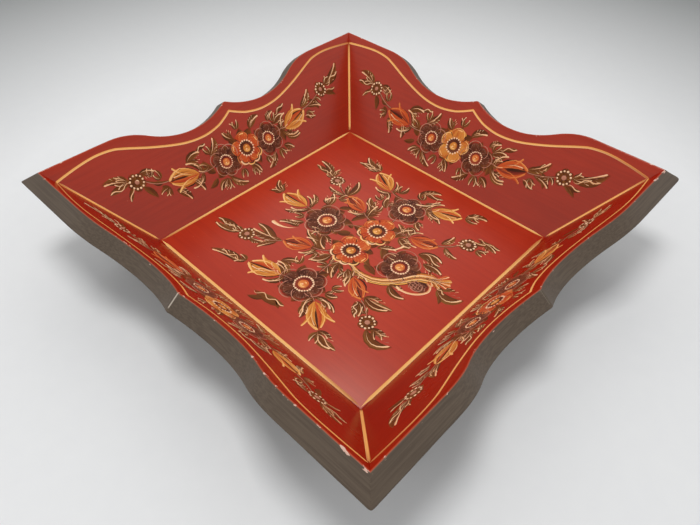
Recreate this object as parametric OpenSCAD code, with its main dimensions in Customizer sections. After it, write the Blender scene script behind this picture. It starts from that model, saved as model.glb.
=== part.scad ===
// Square serving tray of five painted boards: a flat floor and four flared sides with scalloped tops.
// The tray stands on the plane z = 0, centred on the Z axis. Front is -Y and right is +X.

/* [Floor board] */
// Width of the tray floor between the feet of the sides
floor_w = 190; // [150:1:240]
// Thickness of the floor board
floor_t = 8; // [6:0.5:12]
// Thickness of the glue between the floor's edges and the sides
glue_gap = 0.05; // [0.02:0.01:0.2]

/* [Side boards] */
// Lean of the sides, in degrees outwards from upright
flare = 37; // [25:1:46]
// Thickness of the side boards
board_t = 12; // [8:0.5:13]
// Width of a side up its slope, from the floor to the level ends of its top edge
side_w = 73; // [60:1:90]

/* [Scalloped top edge] */
// Depth of the hollows below the level ends
hollow_depth = 16.5; // [12:0.5:20]
// Distance from the middle of a side to the lowest point of each hollow
hollow_at = 32; // [26:1:39]
// Distance from the middle of a side to the start of each level end
shoulder_at = 91; // [75:1:110]
// Share of each S-curve that belongs to the hollow, the rest being shoulder
hollow_share = 0.56; // [0.46:0.02:0.68]
// Radius that softens the point in the middle
tip_r = 3; // [1:0.5:5]

/* [Pins] */
// Diameter of the steel pins
pin_d = 1.6; // [1.2:0.1:2.2]
// Length of every pin
pin_len = 26; // [18:1:34]
// Depth of wood filler over the outer end of a pin
pin_set = 1.5; // [1:0.1:2.5]
// Gap between a pin and its hole, on the radius and at both ends
pin_gap = 0.05; // [0.02:0.01:0.2]
// Number of pins across each mitre
corner_pin_count = 3; // [2:1:4]
// Distance of the first and last corner pin from the foot and from the outer top corner
corner_pin_edge = 13; // [9:0.5:17]
// Distance of the corner pins from the inner face of the board that they run into
corner_pin_in = 5.5; // [3:0.5:6]
// Number of pins along each side of the floor
floor_pin_count = 3; // [2:1:4]
// Distance between neighbouring floor pins
floor_pin_pitch = 60; // [40:1:70]

/* [Hidden] */
$fn = 96;

// lean of the sides per unit of height, and the level width of a leaning board
lean = tan(flare);
board_level_t = board_t / cos(flare);

// heights of the inner and outer top corners of the rim, and a length past every board
rim_z = floor_t + side_w * cos(flare);
outer_rim_z = rim_z - board_t * sin(flare);
reach = floor_w + 2 * (side_w + board_t);

// the S-curve of the top edge: two arcs that meet smoothly at (bend_at, bend_v)
curve_span = shoulder_at - hollow_at;
radii_sum = (curve_span ^ 2 + hollow_depth ^ 2) / (2 * hollow_depth);
hollow_r = radii_sum * hollow_share;
shoulder_r = radii_sum - hollow_r;
bend_at = hollow_at + curve_span * hollow_share;
hollow_centre_v = side_w - hollow_depth + hollow_r;
shoulder_centre_v = side_w - shoulder_r;

// the rounded point: an arc between the two hollows
tip_centre_v = hollow_centre_v - sqrt((hollow_r + tip_r) ^ 2 - hollow_at ^ 2);
tip_half_w = hollow_at * tip_r / (hollow_r + tip_r);

// distance of a board's inner and outer face from the middle of the tray, at height z
function inner_face(z) = floor_w / 2 + (z - floor_t) * lean;
function outer_face(z) = inner_face(z) + board_level_t;

// height of corner pin i, counted from the foot
function corner_pin_z(i) =
    corner_pin_edge + i * (outer_rim_z - 2 * corner_pin_edge) / (corner_pin_count - 1);

// what is sawn away above one half of the top edge, seen square to the board
module top_waste() {
    over = side_w;
    intersection() {
        translate([hollow_at, hollow_centre_v]) circle(r = hollow_r);
        square([bend_at, side_w + over]);
    }
    difference() {
        translate([bend_at, shoulder_centre_v]) square([shoulder_at - bend_at, shoulder_r + over]);
        translate([shoulder_at, shoulder_centre_v]) circle(r = shoulder_r);
    }
    difference() {
        translate([0, tip_centre_v]) square([tip_half_w, hollow_r]);
        translate([0, tip_centre_v]) circle(r = tip_r);
    }
}

// outline of a side before its ends are mitred: x along the board, y up the slope from the floor
module side_outline() {
    foot = (floor_t + board_t) / cos(flare);
    difference() {
        translate([-reach / 2, -foot]) square([reach, foot + side_w]);
        top_waste();
        mirror([1, 0]) top_waste();
    }
}

// the upright wedge of space that one side of the tray fills, between two mitre planes
module mitre_wedge() {
    linear_extrude(height = rim_z + board_t)
        polygon([[0, 0], [-reach, -reach], [reach, -reach]]);
}

// one pin lying along +X, its outer end just inside the outer face, at height z
module pin_along_x(z, extra) {
    outer_end = outer_face(z) - pin_set + extra;
    translate([outer_end, 0, z])
        rotate([0, -90, 0]) cylinder(d = pin_d + 2 * extra, h = pin_len + 2 * extra);
}

// the pins of the front right corner, which run by turns into the front board and the right board
module corner_pins_one(extra) {
    for (i = [0 : corner_pin_count - 1]) {
        z = corner_pin_z(i);
        side = inner_face(z) + corner_pin_in;
        if (i % 2 == 0) translate([0, -side, 0]) pin_along_x(z, extra);
        else mirror([1, 1, 0]) translate([0, -side, 0]) pin_along_x(z, extra);
    }
}

module all_corner_pins(extra) {
    for (quarter = [0 : 3])
        rotate([0, 0, 90 * quarter]) corner_pins_one(extra);
}

module all_floor_pins(extra) {
    for (quarter = [0 : 3], i = [0 : floor_pin_count - 1])
        rotate([0, 0, 90 * quarter])
            translate([0, (i - (floor_pin_count - 1) / 2) * floor_pin_pitch, 0])
                pin_along_x(floor_t / 2, extra);
}

// one side board in its place at the front, with blind holes for the pins that cross it
module side_board() {
    difference() {
        intersection() {
            translate([0, -floor_w / 2, floor_t])
                rotate([90 + flare, 0, 0]) linear_extrude(height = board_t) side_outline();
            mitre_wedge();
        }
        all_corner_pins(pin_gap);
        all_floor_pins(pin_gap);
    }
}

// the floor's cross-section, its edges bevelled to lie against the glue on the sides
module floor_section() {
    glue_level_t = glue_gap / cos(flare);
    foot_half_w = inner_face(0) - glue_level_t;
    top_half_w = inner_face(floor_t) - glue_level_t;
    rotate([90, 0, 0])
        linear_extrude(height = floor_w, center = true)
            polygon([
                [-foot_half_w, 0], [foot_half_w, 0],
                [top_half_w, floor_t], [-top_half_w, floor_t]
            ]);
}

module floor_board() {
    color("firebrick") difference() {
        intersection() {
            floor_section();
            rotate([0, 0, 90]) floor_section();
        }
        all_floor_pins(pin_gap);
    }
}

module side_board_front() {
    color("brown") side_board();
}

module side_board_right() {
    color("brown") rotate([0, 0, 90]) side_board();
}

module side_board_back() {
    color("brown") rotate([0, 0, 180]) side_board();
}

module side_board_left() {
    color("brown") rotate([0, 0, 270]) side_board();
}

module corner_pins() {
    color("dimgray") all_corner_pins(0);
}

module floor_pins() {
    color("dimgray") all_floor_pins(0);
}

floor_board();
side_board_front();
side_board_right();
side_board_back();
side_board_left();
corner_pins();
floor_pins();
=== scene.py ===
import bmesh
import bpy
import math
import random
from mathutils import Matrix, Vector, noise


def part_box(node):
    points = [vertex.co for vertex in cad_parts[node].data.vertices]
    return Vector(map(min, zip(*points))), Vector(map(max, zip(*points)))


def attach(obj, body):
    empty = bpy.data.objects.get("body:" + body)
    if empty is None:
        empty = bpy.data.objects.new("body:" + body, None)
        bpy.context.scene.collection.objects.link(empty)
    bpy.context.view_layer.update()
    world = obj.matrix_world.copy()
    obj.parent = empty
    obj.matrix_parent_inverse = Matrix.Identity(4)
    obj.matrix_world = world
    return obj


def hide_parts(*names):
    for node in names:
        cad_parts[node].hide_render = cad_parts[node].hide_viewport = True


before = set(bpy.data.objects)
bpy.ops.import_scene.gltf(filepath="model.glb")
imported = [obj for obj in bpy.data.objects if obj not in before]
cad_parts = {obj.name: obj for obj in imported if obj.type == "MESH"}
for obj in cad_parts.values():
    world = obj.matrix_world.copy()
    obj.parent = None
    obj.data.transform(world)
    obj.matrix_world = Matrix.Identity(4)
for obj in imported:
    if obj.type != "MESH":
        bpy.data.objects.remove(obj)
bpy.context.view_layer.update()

# THE FLOOR BOARD
# One flat board of close-grained wood, planed level, with its four edges bevelled so that it wedges
# down between the leaning sides. The upper face is brushed with satin red, the rest with dull umber.
MM = 0.001
floor_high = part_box("floor_board")[1]
floor_half = floor_high.x
floor_top = floor_high.z
lean = math.radians(37)
floor_arris = 0.35 * MM
foot_half = floor_half - floor_top * math.tan(lean)


def give(tree, node, inputs):
    """Gives each input of a node a value or another node's output."""
    for socket, value in inputs.items():
        if isinstance(value, bpy.types.NodeSocket):
            tree.links.new(value, node.inputs[socket])
        else:
            node.inputs[socket].default_value = value


def fit(tree, kind, inputs={}, **settings):
    """Adds a node to a tree, with its inputs and settings, and hands back its outputs."""
    node = tree.nodes.new(kind)
    for name, value in settings.items():
        setattr(node, name, value)
    give(tree, node, inputs)
    return node.outputs


def grain(tree, place, stretch, detail=3.0):
    """Soft noise between 0 and 1, drawn out along or across the board by three scales per metre."""
    spread = fit(tree, "ShaderNodeMapping", {"Vector": place, "Scale": stretch})
    noisy = {"Vector": spread[0], "Scale": 1.0, "Detail": detail}
    return fit(tree, "ShaderNodeTexNoise", noisy)["Fac"]


def blend(tree, amount, first, second):
    """The colour that lies between two others, by an amount from 0 to 1."""
    return fit(tree, "ShaderNodeMix", {0: amount, 6: first, 7: second}, data_type="RGBA")[2]


def step(tree, value, low, high, to_low=0.0, to_high=1.0):
    """How far a value has come from one bound to another."""
    limits = {"Value": value, "From Min": low, "From Max": high, "To Min": to_low, "To Max": to_high}
    return fit(tree, "ShaderNodeMapRange", limits, interpolation_type="SMOOTHSTEP")[0]


def reckon(tree, operation, first, second):
    """A sum, product or other simple reckoning of two numbers."""
    return fit(tree, "ShaderNodeMath", {0: first, 1: second}, operation=operation)[0]


def weighed(tree, *shares):
    """The sum of several values, each multiplied by its own share."""
    parts = [reckon(tree, "MULTIPLY", value, share) for value, share in shares]
    total = parts[0]
    for part in parts[1:]:
        total = reckon(tree, "ADD", total, part)
    return total


def new_finish(name):
    """A new material, with its tree of nodes and the node that gives its surface."""
    paint = bpy.data.materials.new(name)
    paint.use_nodes = True
    return paint, paint.node_tree, paint.node_tree.nodes["Principled BSDF"]


def stored(tree, name, output="Fac"):
    """What a mesh keeps on its points under a name."""
    return fit(tree, "ShaderNodeAttribute", attribute_name=name)[output]


def board_paint(name, warm_red, deep_red, sheen_low, gloss=0.5):
    """Satin red on the face and umber from the arris down, chipped to the pale undercoat where worn."""
    paint, tree, finish = new_finish(name)
    place = stored(tree, "on_board", "Vector")
    depth, wear, from_rim = [stored(tree, label) for label in ("depth", "wear", "from_rim")]
    streaks = grain(tree, place, (18, 420, 420), 5.0)
    clouds = grain(tree, place, (26, 32, 32), 4.0)
    pores = grain(tree, place, (260, 1900, 1900), 2.0)
    lines = grain(tree, place, (30, 1300, 1300), 3.0)
    tone = weighed(tree, (streaks, 0.4), (clouds, 0.35), (lines, 0.25))
    red = blend(tree, step(tree, tone, 0.38, 0.62), deep_red, warm_red)
    dust = fit(tree, "ShaderNodeTexVoronoi", {"Vector": place, "Scale": 210.0})
    speck = reckon(tree, "MULTIPLY", step(tree, dust["Distance"], 0.10, 0.04),
                   step(tree, dust["Color"], 0.84, 0.86))
    red = blend(tree, reckon(tree, "MULTIPLY", speck, 0.4), red, (0.62, 0.20, 0.11, 1))
    dark_umber, pale_umber = (0.070, 0.049, 0.034, 1), (0.104, 0.076, 0.053, 1)
    umber = blend(tree, step(tree, lines, 0.30, 0.72), dark_umber, pale_umber)
    umber = blend(tree, step(tree, pores, 0.60, 0.74, 0.0, 0.14), umber, (0.17, 0.13, 0.09, 1))
    knock = reckon(tree, "MULTIPLY", step(tree, dust["Distance"], 0.12, 0.07),
                   step(tree, dust["Color"], 0.955, 0.965))
    umber = blend(tree, knock, umber, (0.42, 0.36, 0.29, 1))
    scratch = step(tree, wear, 1.5, 2.4)
    scratch = reckon(tree, "MULTIPLY", scratch, step(tree, depth, 10.4 * MM, 9.0 * MM))
    scratch = reckon(tree, "MULTIPLY", scratch, step(tree, from_rim, 4.0 * MM, 2.0 * MM))
    umber = blend(tree, scratch, umber, (0.46, 0.40, 0.33, 1))
    ragged = grain(tree, place, (500, 700, 700), 3.0)
    turn = reckon(tree, "ADD", depth, reckon(tree, "MULTIPLY", ragged, 0.4 * MM))
    below = step(tree, turn, 0.50 * MM, 0.66 * MM)
    colour = blend(tree, below, red, umber)
    from_arris = reckon(tree, "ADD", depth, from_rim)
    near = step(tree, from_arris, 1.7 * MM, 0.5 * MM)
    flake = grain(tree, place, (190, 500, 500), 3.0)
    bare = reckon(tree, "ADD", reckon(tree, "MULTIPLY", wear, 0.095), 0.02)
    bare = reckon(tree, "MULTIPLY", near, bare)
    chipped = step(tree, reckon(tree, "ADD", flake, bare), 0.70, 0.73)
    chipped = reckon(tree, "MULTIPLY", chipped, step(tree, near, 0.05, 0.2))
    # Paints a paler pink line along the inner arris, fading out 0.75 mm from it.
    rubbed = step(tree, from_arris, 0.75 * MM, 0.35 * MM, 0.0, 0.35)
    colour = blend(tree, rubbed, colour, (0.58, 0.17, 0.08, 1))
    colour = blend(tree, chipped, colour, (0.66, 0.43, 0.34, 1))
    sheen = step(tree, below, 0.0, 1.0, sheen_low, 0.46)
    sheen = reckon(tree, "ADD", sheen, reckon(tree, "MULTIPLY", clouds, 0.12))
    height = weighed(tree, (streaks, 0.6), (pores, 0.4))
    relief = fit(tree, "ShaderNodeBump", {"Height": height, "Strength": 0.22, "Distance": 0.2 * MM})
    give(tree, finish, {
        "Base Color": colour,
        "Roughness": sheen,
        "Specular IOR Level": step(tree, below, 0.0, 1.0, gloss, 0.5),
        "Specular Tint": (1.0, 0.90, 0.80, 1),
        "Normal": relief[0],
    })
    return paint


def keep_places(mesh, to_world=Matrix.Identity(4)):
    """Stores each point's place on its own board, for the paint to follow, then puts it in place."""
    places = mesh.attributes.new("on_board", "FLOAT_VECTOR", "POINT")
    for vertex, entry in zip(mesh.vertices, places.data):
        entry.vector = vertex.co
    mesh.transform(to_world)


def keep_value(mesh, label, values):
    """Stores a number on each point of a mesh under a name."""
    mesh.attributes.new(label, "FLOAT", "POINT").data.foreach_set("value", values)


def bring_in(name, data):
    """Adds an object to the scene."""
    thing = bpy.data.objects.new(name, data)
    bpy.context.scene.collection.objects.link(thing)
    return thing


def put(name, mesh, *nodes, slot):
    """Shows a finished mesh as one piece of the tray, in the place of its CAD nodes."""
    piece = bring_in(name, mesh)
    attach(piece, "root")
    if nodes:
        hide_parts(*nodes)


floor_paint = board_paint("floor_red", (0.46, 0.026, 0.004, 1), (0.41, 0.020, 0.003, 1), 0.27)
shell = bmesh.new()
ring = [(1, 1), (-1, 1), (-1, -1), (1, -1)]
lower = [shell.verts.new((x * foot_half, y * foot_half, 0)) for x, y in ring]
upper = [shell.verts.new((x * floor_half, y * floor_half, floor_top)) for x, y in ring]
shell.faces.new(upper)
shell.faces.new(reversed(lower))
for i in range(4):
    j = (i + 1) % 4
    shell.faces.new((lower[i], lower[j], upper[j], upper[i]))
bmesh.ops.bevel(shell, geom=shell.edges[:], offset=floor_arris, segments=3, affect="EDGES", profile=0.6)
bmesh.ops.recalc_face_normals(shell, faces=shell.faces[:])
floor_mesh = bpy.data.meshes.new("floor_board")
shell.to_mesh(floor_mesh)
shell.free()
keep_places(floor_mesh)
floor_points = [vertex.co for vertex in floor_mesh.vertices]
keep_value(floor_mesh, "depth", [max(0.0, floor_top - point.z - 0.6 * MM) for point in floor_points])
keep_value(floor_mesh, "wear", [0.0] * len(floor_points))
keep_value(floor_mesh, "from_rim", [10 * MM] * len(floor_points))
floor_mesh.shade_smooth()
floor_mesh.set_sharp_from_angle(angle=math.radians(35))
floor_mesh.materials.append(floor_paint)
put("tray_floor", floor_mesh, "floor_board", slot="floor_paint")

# THE FOUR SIDES
# Each side is a board of the same stock, sawn to a scalloped top edge, mitred at both ends and set
# leaning outwards. The top edge is cut square to the face, and its arrises are eased with glasspaper.
glue_gap = 0.05 * MM
rim_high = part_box("side_board_front")[1]
floor_edge = floor_half + glue_gap / math.cos(lean)
board_t = 12 * MM
side_w = (rim_high.z - floor_top) / math.cos(lean)
hollow_depth = 16.5 * MM
hollow_at = 32 * MM
shoulder_at = 91 * MM
hollow_share = 0.56
tip_r = 3 * MM
eased_r = 0.7 * MM
level_from = 84 * MM
saw_wander = 0.25 * MM
mitre_ease = 0.04 * MM
corner_loss = 0.293
curve_span = shoulder_at - hollow_at
radii_sum = (curve_span ** 2 + hollow_depth ** 2) / (2 * hollow_depth)
hollow_r = radii_sum * hollow_share
shoulder_r = radii_sum - hollow_r
bend_at = hollow_at + curve_span * hollow_share
hollow_centre = side_w - hollow_depth + hollow_r
shoulder_centre = side_w - shoulder_r
tip_centre = hollow_centre - math.sqrt((hollow_r + tip_r) ** 2 - hollow_at ** 2)
tip_half_w = hollow_at * tip_r / (hollow_r + tip_r)


def top_edge(x):
    """Height of the sawn top edge up the slope, at a distance from the middle of the side."""
    x = abs(x)
    if x < tip_half_w:
        return tip_centre + math.sqrt(tip_r ** 2 - x ** 2)
    if x < bend_at:
        return hollow_centre - math.sqrt(hollow_r ** 2 - (x - hollow_at) ** 2)
    if x < shoulder_at:
        return shoulder_centre + math.sqrt(shoulder_r ** 2 - (x - shoulder_at) ** 2)
    return side_w


def sawn_edge(x, seed):
    """The top edge as a hand saw and a rasp leave it, a hair lower than the drawn line here and there."""
    return top_edge(x) - saw_wander * (0.5 + 0.5 * noise.noise(Vector((x * 60, seed * 7.1, 0))))


def foot(depth):
    """Where the level foot of the side lies down the slope, at a depth behind its painted face."""
    return (depth * math.sin(lean) - floor_top) / math.cos(lean)


def outline_of(top):
    """Points round one cross-section, as height up the slope and depth behind the painted face."""
    turns = [math.radians(a) for a in (0, 22.5, 45, 67.5, 90)]
    bend_from = top - eased_r
    back_from = board_t - eased_r
    low = foot(board_t)
    points = [(foot(0) + (bend_from - foot(0)) * i / 14, 0.0) for i in range(14)]
    points += [(bend_from + eased_r * math.sin(a), eased_r - eased_r * math.cos(a)) for a in turns]
    points += [(top, eased_r + (board_t - 2 * eased_r) * i / 5) for i in range(1, 5)]
    points += [(bend_from + eased_r * math.cos(a), back_from + eased_r * math.sin(a)) for a in turns]
    points += [(low + (bend_from - low) * (1 - i / 6), board_t) for i in range(1, 6)]
    points.append((low + 0.3 * MM, board_t))
    points += [(foot(depth), depth) for depth in (board_t - 0.5 * MM, board_t / 2)]
    return points


def face_outwards(mesh):
    """Turns every face of a closed mesh to look out of it."""
    whole = bmesh.new()
    whole.from_mesh(mesh)
    bmesh.ops.recalc_face_normals(whole, faces=whole.faces[:])
    whole.to_mesh(mesh)
    whole.free()


def side_mesh(name, quarter, worn_at, blunt):
    """One mitred side, lofted from end to end. worn_at lists its rubs, as place, width and strength.
    blunt gives the radius to which the outer corner is rubbed down at its right and left ends."""
    count = round(level_from / (1.5 * MM))
    stations = [(level_from * i / count, 0.0) for i in range(-count, count + 1)]
    stations += [(tip_half_w * i / 3, 0.0) for i in (-4, -2, -1, 1, 2, 4)]
    stations = sorted(set(stations))
    fan = [(level_from, t) for t in (0.05, 0.1, 0.15, 0.22, 0.3, 0.4, 0.5, 0.6, 0.7, 0.8, 0.88,
                                     0.93, 0.95, 0.96, 0.97, 0.98, 0.99, 0.996, 1.0)]
    stations = [(-x, t) for x, t in reversed(fan)] + stations + fan
    seed = quarter + 1
    loops, depths, rubs, drops = [], [], [], []
    for x, t in stations:
        loop = []
        tip = mitre_ease if t == 1.0 else 0.0
        top = sawn_edge(x, seed)
        for number in range(len(outline_of(top))):
            along = x
            radius = blunt[0] if x < 0 else blunt[1]
            for _ in range(4 if t else 1):
                high = sawn_edge(along, seed)
                up, deep = outline_of(high - tip)[number]
                mitre = floor_edge + up * math.sin(lean) + deep * math.cos(lean)
                if t and radius:
                    short = max(0.0, 1 - (mitre - abs(along)) / radius)
                    rubbed = corner_loss * radius * short ** 2
                    near_top = min(1.0, max(0.0, (up - 0.75 * high) / (0.25 * high)))
                    deep -= rubbed * max(0.0, deep / board_t - 0.3) / 0.7
                    up -= 0.8 * rubbed * near_top * deep / board_t
                    mitre = floor_edge + up * math.sin(lean) + deep * math.cos(lean)
                along = x + math.copysign(t * (mitre - abs(x)), x)
            deep = min(max(deep, tip), board_t - tip)
            up = max(up, foot(deep) + tip)
            loop.append((-along, up, -deep))
            depths.append(deep if up > foot(0) + 1 * MM else deep + 1 * MM)
            drops.append(max(0.0, high - up))
            rubs.append(sum(s * math.exp(-((-along - c) / w) ** 2) for c, w, s in worn_at))
        loops.append(loop)
    size = len(loops[0])
    points = [p for loop in loops for p in loop]
    faces = []
    for s in range(len(loops) - 1):
        for k in range(size):
            m = (k + 1) % size
            faces.append((s * size + k, s * size + m, (s + 1) * size + m, (s + 1) * size + k))
    faces.append(tuple(range(size)))
    faces.append(tuple(reversed(range((len(loops) - 1) * size, len(loops) * size))))
    mesh = bpy.data.meshes.new(name)
    mesh.from_pydata(points, [], faces)
    for label, values in (("depth", depths), ("wear", rubs), ("from_rim", drops)):
        keep_value(mesh, label, values)
    face_outwards(mesh)
    keep_places(mesh, side_place(quarter))
    mesh.shade_smooth()
    mesh.set_sharp_from_angle(angle=math.radians(40))
    return mesh


def side_place(quarter):
    """The frame of a side's painted face, seen from inside: x to the right, y up the slope, z out."""
    up = Vector((0, -math.sin(lean), math.cos(lean)))
    out = Vector((0, math.cos(lean), math.sin(lean)))
    face = Matrix((Vector((-1, 0, 0)), up, out)).transposed().to_4x4()
    face.translation = (0, -floor_edge, floor_top)
    return Matrix.Rotation(math.radians(90) * quarter, 4, "Z") @ face


# The front and right sides get a darker, purer red and less gloss than the back and left: painted shade.
side_paint = board_paint("side_red_and_umber", (0.37, 0.020, 0.003, 1), (0.32, 0.016, 0.002, 1), 0.16)
shaded_side_paint = board_paint(
    "shaded_red_and_umber", (0.33, 0.011, 0.001, 1), (0.28, 0.008, 0.001, 1), sheen_low=0.20, gloss=0.09)
sides = {
    "front": ([(-70, 25, 0.8), (-120, 14, 1.0), (0, 2, 0.9), (60, 12, 0.5), (0, 0.45, 2.4)], (1, 2)),
    "right": ([(95, 20, 0.5), (-133, 8, 0.8), (0, 1.5, 0.6), (0.4, 0.4, 1.4)], (2, 4)),
    "back": ([(133, 8, 0.8)], (4, 1)),
    "left": ([(-133, 6, 0.5)], (1, 1)),
}
for quarter, (side, (worn_at, blunt)) in enumerate(sides.items()):
    worn_at = [(c * MM, w * MM, s) for c, w, s in worn_at]
    mesh = side_mesh("side_" + side, quarter, worn_at, [b * MM for b in blunt])
    # The front and right sides take the darker red of painted shade.
    mesh.materials.append(shaded_side_paint if side in ("front", "right") else side_paint)
    put("side_" + side, mesh, "side_board_" + side, slot="side_paint")

# THE BRUSH AND ITS COLOURS
# The flowers are painted freehand in oils over the dry red: single touches of a round brush, loaded
# with two colours, laid over each other from the dark leaves up to the last pale dots.
def away(x, y, reach, angle):
    """The point that lies at a distance and an angle from another."""
    return x + reach * math.cos(angle), y + reach * math.sin(angle)


def path_between(start, end, bow):
    """Points of one curved touch, bowed to its left by a share of its length."""
    run_x, run_y = end[0] - start[0], end[1] - start[1]
    points = []
    for i in range(9):
        s = 0.5 - 0.5 * math.cos(math.pi * i / 8)
        side = 4 * bow * s * (1 - s)
        points.append((start[0] + run_x * s - run_y * side, start[1] + run_y * s + run_x * side))
    return points


def press(shape, s, ratio):
    """How hard the brush is pressed along a touch, from 0 to 1. ratio is its width over its length."""
    if shape == "comma":
        head = min(0.45, ratio / 2)
        if s < head:
            return math.sqrt(max(0.0, 1 - ((head - s) / head) ** 2))
        return (1 - (s - head) / (1 - head)) ** 1.3
    if shape == "leaf":
        return math.sin(math.pi * s ** 0.8) ** 0.85 if 0 < s < 1 else 0.0
    if shape == "petal":
        if s < 0.58:
            return 0.35 + 0.65 * math.sin(math.pi / 2 * s / 0.58)
        return math.sqrt(max(0.0, 1 - ((s - 0.58) / 0.42) ** 2))
    if shape == "disc":
        return math.sqrt(max(0.0, 1 - (2 * s - 1) ** 2))
    ends = ratio if shape == "even" else max(0.02, ratio / 2)
    fade = 1 - 0.6 * s if shape == "tail" else 1
    return min(1.0, math.sqrt(s / ends)) * min(1.0, math.sqrt((1 - s) / ends)) * fade


class Painting:
    """The touches and dots of one painted board, in millimetres on its face, gathered by colour. Each
    coat lies over the last, and a hair keeps the touches of one coat from lying level."""

    first_coat = 0.015
    coat = 0.018
    hair = 0.0003
    finest = 0.004

    def __init__(self, seed):
        self.touches = {}
        self.dots = {}
        self.hand = random.Random(seed)

    def touch(self, colour, points, width, shape, layer):
        length = sum(math.dist(a, b) for a, b in zip(points, points[1:]))
        done, halves = 0.0, []
        for i, point in enumerate(points):
            done += math.dist(points[i - 1], point) if i else 0.0
            pressed = press(shape, min(1.0, done / length), width / length)
            halves.append(max(self.finest, width / 2 * pressed))
        pot = self.touches.setdefault(colour, [])
        height = self.first_coat + self.coat * layer + self.hair * (len(pot) % 37)
        pot.append((points, halves, self.hand.random(), height))

    def band(self, colour, points, halves, layer):
        """A touch whose half-width is given at each point."""
        height = self.first_coat + self.coat * layer
        self.touches.setdefault(colour, []).append((points, halves, self.hand.random(), height))

    def stroke(self, colour, start, end, width, bow=0.0, shape="comma", layer=2):
        bow += self.hand.uniform(-0.03, 0.03)
        self.touch(colour, path_between(start, end, bow), width, shape, layer)

    def dot(self, colour, x, y, radius, layer):
        size = radius * self.hand.uniform(0.85, 1.15)
        self.dots.setdefault(colour, []).append((x, y, size, self.coat * layer))

    def ring(self, colour, x, y, radius, count, size, layer):
        start = self.hand.uniform(0, 6.3)
        for i in range(count):
            a = start + math.tau * i / count
            reach = radius * self.hand.uniform(0.96, 1.04)
            self.dot(colour, *away(x, y, reach, a), size, layer)

    def arc(self, colour, x, y, radius, first, last, width, shape, layer):
        points = [away(x, y, radius, first + (last - first) * i / 10) for i in range(11)]
        self.touch(colour, points, width, shape, layer)

    def leaf(self, start, end, width, bow, vein):
        """A dark leaf with one pale touch down a side, fine veins and a small twin touch at its foot."""
        hand = self.hand
        self.stroke("leaf", start, end, width, bow, "leaf", 0)
        run_x, run_y = end[0] - start[0], end[1] - start[1]
        length = math.hypot(run_x, run_y)
        across = (-run_y / length * vein, run_x / length * vein)
        twin = -0.62 if vein else 0.5

        def at(s, off):
            side = off * width
            return start[0] + s * run_x + side * across[0], start[1] + s * run_y + side * across[1]

        self.stroke("leaf", at(0, 0), at(0.62, twin), 0.55 * width, 0.1, "leaf", 0)
        if not vein:
            return
        wide, fine = 0.13 * width + 0.4, 0.06 * width + 0.35
        self.stroke("cream", at(0.93, 0.08), at(0.02, 0.02), wide, -bow - 0.05 * vein, layer=4)
        if hand.random() < 0.6:
            self.stroke("cream", at(0.50, -0.30), at(0.06, -0.05), fine, 0.12 * vein, layer=4)
        for k in range(3):
            s = 0.28 + 0.15 * k
            self.stroke("cream", at(s + 0.12, -0.78 + 0.06 * k), at(s, -0.36), 0.42, 0.1 * vein, layer=4)
        for k in range(3):
            s = 0.30 + 0.18 * k
            sway = hand.uniform(-0.1, 0.1)
            self.stroke("blush", at(s + 0.17, -0.26 + 0.05 * k), at(s, 0.02), 0.4, sway, layer=3)

    def tendril(self, start, end, waves, swing):
        """A thin pale line that wriggles away from a leaf."""
        run_x, run_y = end[0] - start[0], end[1] - start[1]
        points = []
        for i in range(5 * waves + 1):
            s = i / (5 * waves)
            side = 0.8 * swing * math.sin(math.pi * waves * s) * (0.4 + 0.6 * s)
            points.append((start[0] + run_x * s - run_y * side, start[1] + run_y * s + run_x * side))
        wide = 0.24 * math.hypot(run_x, run_y) + 0.6
        self.stroke("leaf", start, end, wide, 0.05, "leaf", 0)
        self.touch("cream", points, 0.85, "tail", 4)

    def stem(self, start, end, bow):
        """A thin brown stalk with a paler line on it."""
        width = 0.8
        self.stroke("leaf", start, end, 1.7 * width, bow, "line", 0)
        self.stroke("blush", start, end, 0.6 * width, bow + 0.02, "line", 2)

    def spray(self, x, y, angle, size, count):
        """A little fan of pale touches that start together, each over its own small leaf."""
        for k in range(count):
            a = angle + 0.5 * (k - (count - 1) / 2)
            reach = size * self.hand.uniform(0.8, 1.1)
            end = away(x, y, reach, a)
            bow = 0.14 * (1 if k % 2 else -1)
            self.stroke("leaf", (x, y), end, 0.42 * size, bow, "leaf", 0)
            self.stroke("cream", end, (x, y), 0.055 * size + 0.3, -bow - 0.04, layer=4)

    def centre(self, x, y, r, ground, heart):
        """The eye of a rose: a deep red ring set with pale dots round a golden ball."""
        hand = self.hand
        self.stroke(ground, (x - 0.46 * r, y), (x + 0.46 * r, y), 0.92 * r, shape="disc", layer=3)
        for k in range(12):
            a = math.tau * k / 12 + hand.uniform(-0.1, 0.1)
            near, far = 0.50 * r, hand.uniform(0.56, 0.66) * r
            self.stroke("blush", away(x, y, far, a), away(x, y, near, a), 0.45, layer=4)
        if ground == "wine":
            self.ring("pearl", x, y, 0.425 * r, round(1.0 * r + 8), 0.053 * r, 5)
        else:
            self.ring("pearl", x, y, 0.46 * r, 18, 0.058 * r, 5)
        self.stroke(heart, (x - 0.24 * r, y), (x + 0.24 * r, y), 0.48 * r, shape="disc", layer=5)
        self.arc("gold", x + 0.02 * r, y - 0.02 * r, 0.13 * r, 3.3, 6.0, 0.11 * r, "tail", 6)
        self.arc("gold", x, y + 0.03 * r, 0.08 * r, 0.4, 2.4, 0.08 * r, "tail", 6)
        self.dot("cream", x - 0.03 * r, y - 0.05 * r, 0.045 * r, 7)

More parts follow.
